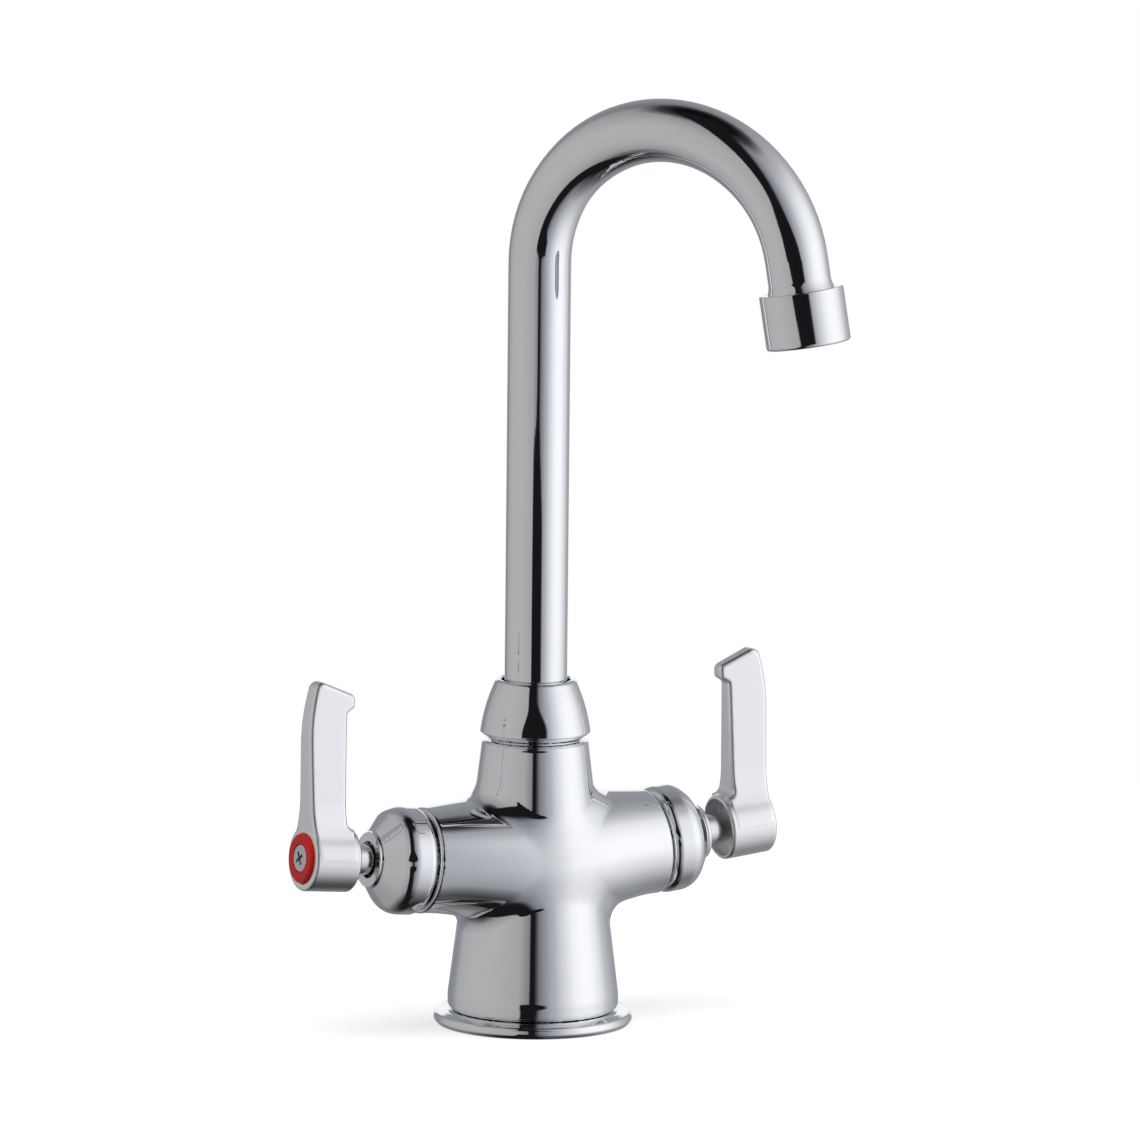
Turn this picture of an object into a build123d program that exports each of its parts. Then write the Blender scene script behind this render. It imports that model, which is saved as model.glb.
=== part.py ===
from build123d import *
from math import cos, radians, sin, sqrt, tan
import os

os.makedirs("parts", exist_ok=True)

# A two-handle gooseneck faucet for one deck hole, in millimetres, +Z up.
# The origin is the centre of the base on the deck. +X runs along the valves to the cold
# handle, and -Y points at the user. The levers stand up, which is off, and the spout is
# swung part of the way to the cold side.

# Fits and small edges
turning_gap = 0.05
screwed_gap = 0.05
loose_gap = 0.3
soft_edge = 0.3
cut_overrun = 1.0

# Base ring and deck gasket
ring_bore_radius = 20.5
ring_overhang = 4.26
ring_height = 4.2
ring_foot_inset = 0.95
ring_foot_height = 1.25
ring_foot_blend = 0.9
ring_brow_inset = 0.35
ring_brow_drop = 1.05
ring_brow_blend = 1.1
ring_top_ledge = 1.4
ring_top_blend = 2.4
ring_lip_height = 1.4
ring_lip_width = 2.2
gasket_thickness = 1.6
gasket_rim_width = 1.2

# Body column
foot_wall = 3.0
foot_land_height = 4.8
foot_land_blend = 12.0
foot_recess_height = 13.8
neck_shoulder = 2.725
neck_top_z = 86.5
neck_edge = 0.9
seam_blend = 5.4

# Valve arms
valve_axis_z = 48.4
valve_tilt = 5.5
arm_length = 39.6
arm_wall = 3.4
arm_root_inset = 0.8
arm_root_proud = 1.7
arm_root_rise = 1.6
arm_swell_station = 22.0
arm_swell_height = 2.1
arm_swell_depth = 2.4
arm_swell_rise = 0.8
arm_edge = 0.35

# Water ways and deck fastening
inlet_offset = 11.0
inlet_thread_radius = 5.0
inlet_thread_depth = 12.0
waterway_radius = 3.0
mixing_radius = 6.0
mixing_depth = 12.0
cross_way_radius = 2.6
cross_way_rise = 8.0
stud_offset = 12.5
stud_thread_radius = 4.0
stud_thread_depth = 16.0

# Ceramic cartridge, measured along the valve from its floor outwards
stem_radius = 4.6
disc_radius = 7.2
disc_thickness = 3.0
disc_port_radius = 1.7
disc_port_offset = 4.2
seat_seal_thickness = 2.6
drive_head_thickness = 3.6
drive_tang_width = 3.0
drive_tang_depth = 1.2
drive_tang_inset = 1.3
chamber_gap = 0.3
barrel_wall = 1.0
barrel_end_wall = 1.4
window_width = 8.0
window_length = 4.4
cartridge_flange_width = 3.2
cartridge_flange_thickness = 2.4
cartridge_seal_section = 1.0
cartridge_hex_shoulder = 1.55
cartridge_hex_height = 4.0
cartridge_neck_wall = 2.3

# Stem outside the cartridge
stem_ring_section = 0.65
stem_ring_station = 8.0
clip_thickness = 0.7
clip_depth = 0.8
clip_reach = 1.3
clip_headroom = 0.4
clip_mouth_angle = 70.0
broach_corner_inset = 0.2
broach_length = 6.6

# Bonnet nut
nut_gap = 0.5
nut_overhang = 0.4
nut_skirt_wall = 1.6
nut_skirt_length = 5.6
nut_length = 16.5
nut_band_length = 9.2
nut_bullnose = 6.5
nut_nose_wall = 1.05
nut_nose_length = 1.1
nut_nose_blend = 1.5
nut_end_wall = 1.4
nut_hole_gap = 0.9
nut_edge = 1.2

# Lever handle: station is along the valve axis, height is square to it
lever_gap = 6.5
hub_radius = 9.85
hub_length = 15.3
hub_rim_wall = 1.25
hub_cavity_depth = 4.35
lever_height = 54.3
lever_lean_station = 3.45
lever_lean_drop = 12.8
lever_lean_blend = 60.0
lever_shin_inset = 1.0
lever_tip_station = 1.75
lever_tip_drop = 4.5
lever_tip_blend = 1.9
lever_nose_station = 3.45
lever_nose_height = 3.6
lever_nose_step = 2.4
lever_nose_blend = 1.0
lever_step_drop = 1.8
lever_root_start = 1.2
lever_root_station = 3.4
lever_root_blend = 2.3
lever_outer_tip_half = 2.95
lever_inner_tip_half = 2.2
lever_taper_angle = 2.4
lever_flare_radius = 25.0
lever_edge = 0.6
nearly_straight = 0.98

# Handle screw and index ring
screw_head_radius = 4.25
screw_head_thickness = 2.4
screw_head_proud = 1.0
screw_head_edge = 0.6
screw_shank_radius = 1.95
screw_length = 12.0
cross_slot_length = 4.4
cross_slot_width = 0.95
cross_slot_depth = 1.3
cross_slot_turn = 35.0
index_ring_width = 3.15
index_ring_thickness = 1.8
index_ring_proud = 1.0
index_ring_edge = 0.6

# Spout collar and the spigot that it screws on
spigot_wall = 2.3
spigot_length = 8.0
collar_gap = 0.7
collar_height = 17.5
collar_wall = 3.4
collar_chamfer = 2.3
collar_chamfer_height = 1.9
collar_edge = 0.5
collar_opening_gap = 0.75
collar_lip_edge = 0.6
collar_shoulder_width = 4.475
collar_shoulder_drop = 1.7
collar_shoulder_blend = 3.2

# Swivel ferrule with its washers and O-rings
ferrule_wall = 1.5
ferrule_flange_width = 1.4
ferrule_flange_thickness = 2.0
ferrule_depth = 28.8
ferrule_tube_stop = 11.5
ferrule_stop_width = 1.2
washer_thickness = 0.8
spout_ring_section = 1.0
spout_ring_first = 3.0
spout_ring_pitch = 5.0

# Gooseneck tube
tube_radius = 19.05 / 2
tube_wall = 1.2
bend_radius = 42.9
bend_angle = 170.1
bend_start_z = 231.1
tail_length = 9.4
flare_length = 3.2
flare_step = 0.65
flare_mouth_length = 1.76
flare_blend = 6.0
spout_swing = 35.7

# Spout nose and aerator, measured down the stream from the housing's top
nose_step = 0.7
nose_thread_length = 6.0
nose_sleeve_length = 5.5
nose_bore_radius = 6.9
aerator_wall = 1.9
aerator_length = 16.5
aerator_lip_thickness = 1.7
aerator_lip_width = 1.5
aerator_edge = 1.0
aerator_gasket_thickness = 1.4
screen_thickness = 0.5
screen_hole_radius = 0.75
screen_hole_pitch = 2.1
insert_wall = 1.1
insert_floor = 1.6
insert_hole_radius = 0.9
insert_hole_count = 12
restrictor_thickness = 0.9
restrictor_width = 3.4
restrictor_hole_radius = 0.8
restrictor_hole_count = 6


def outline(*corners):
    """Closed face from corners of two coordinates and, where it is round, a radius."""
    points = [corner[:2] for corner in corners]
    radii = [corner[2] if len(corner) == 3 else 0 for corner in corners]
    return make_face(FilletPolyline(*points, radius=radii, close=True))


def turned(*corners):
    """Solid turned about Z from an outline of radius and height."""
    return revolve(Plane.XZ * outline(*corners), Axis.Z)


def rod(radius, low, high):
    """Round bar on the Z axis."""
    return extrude(Plane.XY.offset(low) * Circle(radius), high - low)


def tube(outer, inner, low, high):
    """Round tube on the Z axis."""
    return extrude(Plane.XY.offset(low) * (Circle(outer) - Circle(inner)), high - low)


def o_ring(outer, section, height):
    """O-ring of a section radius, whose outside just reaches the outer radius."""
    return Pos(0, 0, height) * Torus(outer - section, section)


def groove(outer, section, height):
    """Cutter for the square groove that an O-ring lies in."""
    floor = outer - 2 * section
    half_width = section + turning_gap
    return tube(outer + section, floor, height - half_width, height + half_width)


def valve_plane(side):
    """Plane on the valve axis: Z runs outwards along the arm and X points up."""
    tilt = radians(valve_tilt)
    outward = (side * cos(tilt), 0, sin(tilt))
    upward = (-side * sin(tilt), 0, cos(tilt))
    return Plane(origin=(0, 0, valve_axis_z), x_dir=upward, z_dir=outward)


# Radii that follow from what goes inside
chamber_radius = disc_radius + chamber_gap
barrel_radius = chamber_radius + barrel_wall
flange_radius = barrel_radius + cartridge_flange_width
nut_thread_radius = flange_radius + nut_skirt_wall / 2
arm_radius = nut_thread_radius + arm_wall
nut_radius = arm_radius + nut_overhang
stem_bore_radius = stem_radius + turning_gap
neck_tube_radius = stem_bore_radius + cartridge_neck_wall
nut_bore_radius = neck_tube_radius + loose_gap
nut_nose_radius = nut_bore_radius + nut_nose_wall
seat_seal_bore = disc_port_offset + disc_port_radius + turning_gap
broach_across = sqrt(2) * (stem_radius - broach_corner_inset)
ferrule_radius = tube_radius + ferrule_wall
socket_radius = ferrule_radius + turning_gap
spigot_radius = socket_radius + spigot_wall
ferrule_flange_radius = ferrule_radius + ferrule_flange_width
collar_bore_radius = spigot_radius + screwed_gap
collar_radius = spigot_radius + collar_wall
collar_opening_radius = tube_radius + collar_opening_gap
neck_radius = spigot_radius + neck_shoulder
ring_lip_radius = ring_bore_radius + ring_lip_width
foot_radius = ring_lip_radius + foot_wall
ring_radius = foot_radius + ring_overhang
gasket_outer_radius = ring_radius - ring_foot_inset - gasket_rim_width
gasket_inner_radius = ring_bore_radius + gasket_rim_width
tube_bore_radius = tube_radius - tube_wall
flare_radius = tube_radius + flare_step
nose_radius = flare_radius + nose_step
aerator_bore_radius = nose_radius + screwed_gap
aerator_radius = aerator_bore_radius + aerator_wall

# Heights of the body
foot_z = ring_height
foot_land_z = foot_z + foot_land_height
recess_z = foot_z + foot_recess_height
spigot_top_z = neck_top_z + spigot_length
socket_floor_z = spigot_top_z - ferrule_depth
column_slope = (foot_radius - neck_radius) / (neck_top_z - foot_land_z)

# Stations along the valve axis, outwards from the middle of the body
flange_top = arm_length - nut_skirt_length
flange_seat = flange_top - cartridge_flange_thickness
chamber_top = flange_top - barrel_end_wall
head_top = chamber_top - chamber_gap
head_bottom = head_top - drive_head_thickness
moving_disc_bottom = head_bottom - disc_thickness
fixed_disc_bottom = moving_disc_bottom - disc_thickness
bore_floor = fixed_disc_bottom - seat_seal_thickness
barrel_bottom = bore_floor + loose_gap
window_bottom = moving_disc_bottom + loose_gap
nut_bottom = arm_length + nut_gap
nut_top = nut_bottom + nut_length
clip_bottom = nut_top - nut_end_wall - clip_headroom - clip_thickness
cartridge_top = clip_bottom - loose_gap
hub_inner = nut_top + lever_gap
hub_outer = hub_inner + hub_length
hub_web = hub_inner + hub_cavity_depth
broach_bottom = hub_web - loose_gap
broach_top = broach_bottom + broach_length
screw_top = hub_outer + screw_head_proud
screw_seat = screw_top - screw_head_thickness
index_seat = hub_outer + index_ring_proud - index_ring_thickness
index_ring_radius = screw_head_radius + screwed_gap + index_ring_width


def make_base_ring():
    ring = turned(
        (ring_bore_radius, 0),
        (ring_radius - ring_foot_inset, 0),
        (ring_radius, ring_foot_height, ring_foot_blend),
        (ring_radius - ring_brow_inset, ring_height - ring_brow_drop, ring_brow_blend),
        (foot_radius + ring_top_ledge, ring_height, ring_top_blend),
        (ring_lip_radius, ring_height),
        (ring_lip_radius, ring_height + ring_lip_height),
        (ring_bore_radius, ring_height + ring_lip_height),
    )
    return ring - make_base_gasket()


def make_base_gasket():
    return tube(gasket_outer_radius, gasket_inner_radius, 0, gasket_thickness)


def make_column():
    """Foot, taper, neck and threaded spigot as one turned blank."""
    return turned(
        (0, foot_z),
        (foot_radius, foot_z, soft_edge),
        (foot_radius, foot_land_z, foot_land_blend),
        (neck_radius, neck_top_z, neck_edge),
        (spigot_radius, neck_top_z),
        (spigot_radius, spigot_top_z, soft_edge),
        (0, spigot_top_z),
    )


def arm_section(side, station, swell_height, swell_depth, rise):
    """Outline of an arm at one station, facing +X on either side so that the loft can't twist."""
    valve = valve_plane(side)
    facing = Plane(origin=valve.origin, x_dir=valve.x_dir, z_dir=side * valve.z_dir)
    oval = Ellipse(arm_radius + swell_height, arm_radius + swell_depth)
    return facing.offset(side * station) * (Pos(rise, 0) * oval)


def make_arms():
    """Both arms as one smooth bar through the column, proud of it in front and behind."""
    column_radius = neck_radius + column_slope * (neck_top_z - valve_axis_z)
    middle = Plane(origin=(0, 0, valve_axis_z), x_dir=(0, 0, 1), z_dir=(1, 0, 0))
    root = Ellipse(column_radius - arm_root_inset, column_radius + arm_root_proud)
    swell = (arm_swell_station, arm_swell_height, arm_swell_depth, arm_swell_rise)
    arms = loft([
        arm_section(-1, arm_length, 0, 0, 0),
        arm_section(-1, *swell),
        middle * (Pos(arm_root_rise, 0) * root),
        arm_section(1, *swell),
        arm_section(1, arm_length, 0, 0, 0),
    ])
    ends = arms.edges().group_by(Axis.X)
    return fillet(ends[0] + ends[-1], arm_edge)


def make_valve_bore():
    """Everything that is cut into one arm, on Z."""
    relief_bottom = window_bottom - loose_gap
    relief_top = window_bottom + window_length + loose_gap
    bore = rod(barrel_radius + screwed_gap, bore_floor, arm_length)
    mouth = rod(nut_thread_radius + screwed_gap, flange_seat, arm_length + cut_overrun)
    relief = rod(barrel_radius + barrel_wall, relief_bottom, relief_top)
    port = rod(waterway_radius, inlet_offset - waterway_radius, bore_floor + cut_overrun)
    cross_way = Pos(cross_way_rise, 0, 0) * rod(cross_way_radius, 0, window_bottom + cut_overrun)
    return bore + mouth + relief + port + cross_way


def make_body():
    """Cross-shaped casting: the column runs through the arms with round blends."""
    body = make_column() + make_arms()
    seams = body.edges().filter_by(
        lambda edge: edge.length > 2 * foot_radius
        and edge.geom_type == GeomType.BSPLINE
        and abs(edge.center().Z - valve_axis_z) > arm_radius / 2
    )
    body = fillet(seams, seam_blend)

    lip_room = ring_lip_radius + screwed_gap
    body -= rod(ring_bore_radius, 0, recess_z)
    body -= rod(lip_room, 0, foot_z + ring_lip_height + screwed_gap)
    body -= rod(socket_radius, socket_floor_z, spigot_top_z + cut_overrun)
    body -= rod(mixing_radius, socket_floor_z - mixing_depth, socket_floor_z + cut_overrun)
    thread_bottom = recess_z - cut_overrun
    inlet_top = recess_z + inlet_thread_depth
    way_top = valve_axis_z + inlet_offset * tan(radians(valve_tilt))
    inlet = rod(inlet_thread_radius, thread_bottom, inlet_top)
    inlet += rod(waterway_radius, inlet_top, way_top)
    for side in (-1, 1):
        body -= valve_plane(side) * make_valve_bore()
        body -= Pos(side * inlet_offset, 0, 0) * inlet
    stud_hole = rod(stud_thread_radius, thread_bottom, recess_z + stud_thread_depth)
    return body - Pos(0, -stud_offset, 0) * stud_hole


def make_cartridge_body():
    """Brass cartridge: barrel with two windows, flange, wrench hexagon and neck."""
    shell = turned(
        (0, barrel_bottom),
        (barrel_radius, barrel_bottom),
        (barrel_radius, flange_seat),
        (flange_radius, flange_seat),
        (flange_radius, flange_top),
        (neck_tube_radius, flange_top),
        (neck_tube_radius, cartridge_top, soft_edge),
        (0, cartridge_top),
    )
    hex_across = 2 * (neck_tube_radius + cartridge_hex_shoulder)
    hexagon = RegularPolygon(hex_across / 2, 6, major_radius=False)
    shell += extrude(Plane.XY.offset(flange_top) * hexagon, cartridge_hex_height)
    shell -= rod(chamber_radius, barrel_bottom, chamber_top)
    shell -= rod(stem_bore_radius, chamber_top, cartridge_top)
    window_middle = window_bottom + window_length / 2
    window = Box(4 * barrel_radius, window_width, window_length)
    shell -= Pos(0, 0, window_middle) * window
    seal_station = flange_seat + cartridge_seal_section
    return shell - groove(flange_radius, cartridge_seal_section / 2, seal_station)


def make_cartridge_seal():
    station = flange_seat + cartridge_seal_section
    return o_ring(flange_radius, cartridge_seal_section / 2, station)


def disc_ports(low, high):
    """Two water ports through a ceramic disc."""
    ports = rod(disc_port_radius, low, high)
    return Pos(0, disc_port_offset, 0) * ports + Pos(0, -disc_port_offset, 0) * ports


def make_fixed_disc():
    disc = rod(disc_radius, fixed_disc_bottom, moving_disc_bottom)
    return disc - disc_ports(fixed_disc_bottom, moving_disc_bottom)


def tang(bottom, top, width):
    """Flat drive tang across the stem's axis."""
    height = top - bottom
    bar = Box(2 * (disc_radius - drive_tang_inset), width, height)
    return Pos(0, 0, bottom + height / 2) * bar


def make_moving_disc():
    slot_floor = head_bottom - drive_tang_depth
    disc = rod(disc_radius - turning_gap, moving_disc_bottom, head_bottom)
    disc -= Rot(0, 0, 90) * disc_ports(moving_disc_bottom, slot_floor)
    return disc - tang(slot_floor, head_bottom, drive_tang_width + 2 * turning_gap)


def make_seat_seal():
    return tube(disc_radius, seat_seal_bore, bore_floor, fixed_disc_bottom)


def stem_ring_height():
    return chamber_top + stem_ring_station


def make_stem():
    """Stem with drive head, O-ring groove, clip groove and square end."""
    stem = rod(disc_radius - turning_gap, head_bottom, head_top)
    stem += rod(stem_radius, head_top, broach_bottom)
    square = Rectangle(broach_across, broach_across)
    stem += extrude(Plane.XY.offset(broach_bottom) * square, broach_length)
    tang_bottom = head_bottom - drive_tang_depth + turning_gap
    stem += tang(tang_bottom, head_bottom, drive_tang_width)
    stem -= groove(stem_radius, stem_ring_section, stem_ring_height())
    clip_floor = stem_radius - clip_depth
    stem -= tube(2 * stem_radius, clip_floor, clip_bottom, clip_bottom + clip_thickness)
    return stem - rod(screw_shank_radius + screwed_gap, screw_seat - screw_length, broach_top)


def make_stem_o_ring():
    return o_ring(stem_radius, stem_ring_section, stem_ring_height())


def make_stem_clip():
    inner = stem_radius - clip_depth + turning_gap
    outer = stem_radius + clip_reach
    clip = tube(outer, inner, clip_bottom, clip_bottom + clip_thickness)
    half_mouth = outer * sin(radians(clip_mouth_angle / 2))
    mouth = Box(outer * 2, half_mouth * 2, 4 * clip_thickness)
    return clip - Pos(-outer, 0, clip_bottom) * mouth


def make_bonnet_nut():
    """Domed nut: threaded skirt in the arm, round band, cone and plain nose."""
    skirt_bore = nut_thread_radius - nut_skirt_wall
    band_top = nut_bottom + nut_band_length
    cone_top = nut_top - nut_nose_length
    end_wall_bottom = nut_top - nut_end_wall
    shell = turned(
        (0, flange_top),
        (nut_thread_radius, flange_top),
        (nut_thread_radius, nut_bottom),
        (nut_radius, nut_bottom, nut_edge),
        (nut_radius, band_top, nut_bullnose),
        (nut_nose_radius, cone_top, nut_nose_blend),
        (nut_nose_radius, nut_top, soft_edge),
        (0, nut_top),
    )
    inside = turned(
        (0, flange_top),
        (skirt_bore, flange_top),
        (skirt_bore, band_top - nut_edge),
        (nut_bore_radius, end_wall_bottom - nut_edge),
        (nut_bore_radius, end_wall_bottom),
        (0, end_wall_bottom),
    )
    hole = rod(stem_radius + nut_hole_gap, end_wall_bottom, nut_top)
    return shell - inside - hole


def blade_section(tip_half):
    """Front outline of the blade: it narrows upwards and flares into the round hub below."""
    taper = radians(lever_taper_angle)
    face_distance = lever_height * sin(taper) + tip_half * cos(taper)
    centre_across = face_distance + lever_flare_radius
    centre_distance = hub_radius - turning_gap + lever_flare_radius
    centre_along = sqrt(centre_distance**2 - centre_across**2)
    share = (hub_radius - turning_gap) / centre_distance
    tip_along = lever_height + cut_overrun

    def point(along, across, side):
        """Point given along and square to the tapered face of one side."""
        height = along * cos(taper) + across * sin(taper)
        return (height, side * (across * cos(taper) - along * sin(taper)))

    ends = [point(tip_along, face_distance, side) for side in (-1, 1)]
    starts = [point(centre_along, face_distance, side) for side in (-1, 1)]
    touches = [point(centre_along * share, centre_across * share, side) for side in (-1, 1)]
    feet = [(0, across) for height, across in touches]
    return make_face([
        Line(ends[0], ends[1]),
        Line(ends[1], starts[1]),
        RadiusArc(starts[1], touches[1], lever_flare_radius),
        Line(touches[1], feet[1]),
        Line(feet[1], feet[0]),
        Line(feet[0], touches[0]),
        RadiusArc(touches[0], starts[0], lever_flare_radius),
        Line(starts[0], ends[0]),
    ])


def make_blade():
    """Blade of a lever: its front outline met with its side outline, with round edges."""
    far_station = hub_outer + lever_lean_station + cut_overrun
    tapered = loft([
        Plane.XY.offset(hub_inner) * blade_section(lever_inner_tip_half),
        Plane.XY.offset(far_station) * blade_section(lever_outer_tip_half),
    ])
    root_start = hub_inner + lever_root_start
    nose = hub_inner + lever_nose_station
    nose_top = lever_height - lever_tip_drop
    nose_bottom = nose_top - lever_nose_height
    side = outline(
        (0, root_start),
        (hub_radius, root_start),
        (hub_radius, hub_inner + lever_root_station, lever_root_blend),
        (nose_bottom - lever_step_drop, nose + lever_nose_step, lever_nose_blend),
        (nose_bottom, nose, lever_nose_blend),
        (nose_top, nose, lever_nose_blend),
        (lever_height, hub_outer + lever_tip_station, lever_tip_blend),
        (lever_height - lever_lean_drop, hub_outer + lever_lean_station, lever_lean_blend),
        (0, hub_outer - lever_shin_inset),
    )
    # The side outline is drawn as height against station, so X stays up and Y runs outwards.
    side_plane = Plane(origin=(0, 0, 0), x_dir=(1, 0, 0), z_dir=(0, -1, 0))
    blade = tapered & extrude(side_plane * side, 2 * hub_radius, both=True)

    def on_outline(edge):
        """True for the edges round the front and back faces, above the hub."""
        run = (edge @ 1 - edge @ 0).normalized()
        square_on = max(abs(run.Y), abs(run.Z)) > nearly_straight
        return edge.center().X > hub_radius and not square_on

    return fillet(blade.edges().filter_by(on_outline), lever_edge)


def make_lever():
    """Lever handle: blade and hub, with the stem's socket, the screw hole and the ring's seat."""
    hub = rod(hub_radius, hub_inner, hub_outer)
    hub = fillet(hub.edges().group_by(Axis.Z)[-1], lever_edge)
    lever = hub + make_blade()
    lever -= rod(hub_radius - hub_rim_wall, hub_inner, hub_web)
    square = Rectangle(broach_across + 2 * turning_gap, broach_across + 2 * turning_gap)
    lever -= extrude(Plane.XY.offset(hub_web) * square, broach_length)
    lever -= rod(screw_shank_radius + 2 * screwed_gap, hub_web, hub_outer)
    lever -= rod(screw_head_radius + screwed_gap, screw_seat, hub_outer)
    return lever - rod(index_ring_radius + screwed_gap, index_seat, hub_outer)


def make_index_ring():
    """Coloured ring round the screw head, a little proud of the hub."""
    ring_top = index_seat + index_ring_thickness
    ring = tube(index_ring_radius, screw_head_radius + screwed_gap, index_seat, ring_top)
    return fillet(ring.edges().group_by(Axis.Z)[-1].sort_by(Edge.length)[-1], index_ring_edge)


def make_handle_screw():
    """Round-headed screw with a cross slot."""
    head = rod(screw_head_radius, screw_seat, screw_top)
    head = fillet(head.edges().group_by(Axis.Z)[-1], screw_head_edge)
    screw = head + rod(screw_shank_radius, screw_seat - screw_length, screw_seat)
    slot = Box(cross_slot_length, cross_slot_width, 2 * cross_slot_depth)
    for quarter in (0, 90):
        screw -= Pos(0, 0, screw_top) * Rot(0, 0, cross_slot_turn + quarter) * slot
    return screw


# Heights of the swivel joint
thrust_top_z = spigot_top_z + washer_thickness
ferrule_flange_top_z = thrust_top_z + ferrule_flange_thickness
friction_top_z = ferrule_flange_top_z + washer_thickness
collar_bottom_z = neck_top_z + collar_gap
collar_top_z = collar_bottom_z + collar_height
ferrule_bottom_z = socket_floor_z + loose_gap
tube_stop_z = ferrule_bottom_z + ferrule_tube_stop


def make_spout_collar():
    """Flared collar with a rounded shoulder that holds the ferrule down."""
    shoulder_radius = collar_opening_radius + collar_shoulder_width
    shell = turned(
        (0, collar_bottom_z),
        (collar_radius - collar_chamfer, collar_bottom_z),
        (collar_radius, collar_bottom_z + collar_chamfer_height, collar_edge),
        (shoulder_radius, collar_top_z - collar_shoulder_drop, collar_shoulder_blend),
        (collar_opening_radius + collar_lip_edge, collar_top_z, collar_edge),
        (0, collar_top_z),
    )
    shell -= rod(collar_bore_radius, collar_bottom_z, friction_top_z)
    return shell - rod(collar_opening_radius, friction_top_z, collar_top_z)


def make_thrust_washer():
    return tube(ferrule_flange_radius, ferrule_radius + loose_gap, spigot_top_z, thrust_top_z)


def make_friction_washer():
    inner = tube_radius + loose_gap
    return tube(ferrule_flange_radius, inner, ferrule_flange_top_z, friction_top_z)


def spout_ring_heights():
    first = ferrule_bottom_z + spout_ring_first
    return [first, first + spout_ring_pitch]


def make_spout_ferrule():
    ferrule = rod(ferrule_radius, ferrule_bottom_z, ferrule_flange_top_z)
    ferrule += rod(ferrule_flange_radius, thrust_top_z, ferrule_flange_top_z)
    ferrule -= rod(tube_radius + screwed_gap, tube_stop_z, ferrule_flange_top_z)
    ferrule -= rod(tube_radius - ferrule_stop_width, ferrule_bottom_z, tube_stop_z)
    for height in spout_ring_heights():
        ferrule -= groove(ferrule_radius, spout_ring_section, height)
    return ferrule


def make_spout_o_rings():
    heights = spout_ring_heights()
    return Compound([o_ring(ferrule_radius, spout_ring_section, height) for height in heights])


def outlet_plane():
    """Plane at the end of the tube, whose Z runs down the stream."""
    angle = radians(bend_angle)
    along = (sin(angle), 0, cos(angle))
    end_x = bend_radius * (1 - cos(angle)) + tail_length * sin(angle)
    end_z = bend_start_z + bend_radius * sin(angle) + tail_length * cos(angle)
    return Plane(origin=(end_x, 0, end_z), x_dir=(-cos(angle), 0, sin(angle)), z_dir=along)


def make_spout_tube():
    """Bent tube with a small flare at its outlet."""
    angle = radians(bend_angle)
    start = (0, 0, bend_start_z)
    middle = (
        bend_radius * (1 - cos(angle / 2)),
        0,
        bend_start_z + bend_radius * sin(angle / 2),
    )
    end = (bend_radius * (1 - cos(angle)), 0, bend_start_z + bend_radius * sin(angle))
    plain_tail = tail_length - flare_length
    tail_end = (end[0] + plain_tail * sin(angle), 0, end[2] + plain_tail * cos(angle))
    path = Wire([
        Edge.make_line((0, 0, tube_stop_z), start),
        Edge.make_three_point_arc(start, middle, end),
        Edge.make_line(end, tail_end),
    ])
    section = Plane.XY.offset(tube_stop_z) * (Circle(tube_radius) - Circle(tube_bore_radius))
    pipe = sweep(section, path=path)
    flare = turned(
        (tube_bore_radius, -flare_length),
        (tube_radius, -flare_length),
        (tube_radius, -flare_mouth_length, flare_blend),
        (flare_radius, 0),
        (flare_radius - tube_wall, 0),
        (tube_bore_radius, -flare_mouth_length, flare_blend),
    )
    return pipe + outlet_plane() * flare


def make_spout_nose():
    nose = rod(nose_radius, 0, nose_thread_length)
    nose += rod(tube_bore_radius - turning_gap, -nose_sleeve_length, 0)
    return nose - rod(nose_bore_radius, -nose_sleeve_length, nose_thread_length)


# Stations of the aerator
gasket_end = nose_thread_length + aerator_gasket_thickness
aerator_lip = aerator_length - aerator_lip_thickness
screen_start = aerator_lip - screen_thickness
insert_radius = aerator_bore_radius - screwed_gap
restrictor_radius = insert_radius - restrictor_width


def make_aerator_housing():
    shell = turned(
        (0, 0),
        (aerator_radius, 0, soft_edge),
        (aerator_radius, aerator_length, aerator_edge),
        (0, aerator_length),
    )
    shell -= rod(aerator_bore_radius, 0, aerator_lip)
    return shell - rod(aerator_bore_radius - aerator_lip_width, 0, aerator_length)


def make_aerator_gasket():
    return tube(insert_radius, nose_bore_radius, nose_thread_length, gasket_end)


def ring_of_holes(count, circle_radius, hole_radius, low, high):
    """Cutter for holes spaced evenly round the stream."""
    hole = Pos(circle_radius, 0, 0) * rod(hole_radius, low, high)
    holes = [Rot(0, 0, 360 / count * turn) * hole for turn in range(count)]
    return Compound(holes)


def make_aerator_insert():
    """Plastic insert: floor with jets above an open skirt."""
    restrictor_end = gasket_end + restrictor_thickness
    insert = rod(insert_radius, gasket_end, screen_start)
    insert -= rod(insert_radius - insert_wall, restrictor_end + insert_floor, screen_start)
    insert -= rod(restrictor_radius + turning_gap, gasket_end, restrictor_end)
    jets = ring_of_holes(
        insert_hole_count,
        restrictor_radius - 2 * insert_hole_radius,
        insert_hole_radius,
        gasket_end,
        screen_start,
    )
    return insert - jets


def make_flow_restrictor():
    disc = rod(restrictor_radius, gasket_end, gasket_end + restrictor_thickness)
    holes = ring_of_holes(
        restrictor_hole_count,
        restrictor_radius / 2,
        restrictor_hole_radius,
        gasket_end,
        gasket_end + restrictor_thickness,
    )
    return disc - holes


def make_aerator_screen():
    disc = rod(insert_radius, screen_start, aerator_lip)
    hole = rod(screen_hole_radius, screen_start, aerator_lip)
    reach = aerator_bore_radius - aerator_lip_width - screen_hole_pitch / 2
    steps = int(reach / screen_hole_pitch)
    spots = []
    for column in range(-steps, steps + 1):
        for row in range(-steps, steps + 1):
            x = column * screen_hole_pitch
            y = row * screen_hole_pitch
            if x * x + y * y < reach * reach:
                spots.append(Pos(x, y, 0) * hole)
    return disc - Compound(spots)


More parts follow.
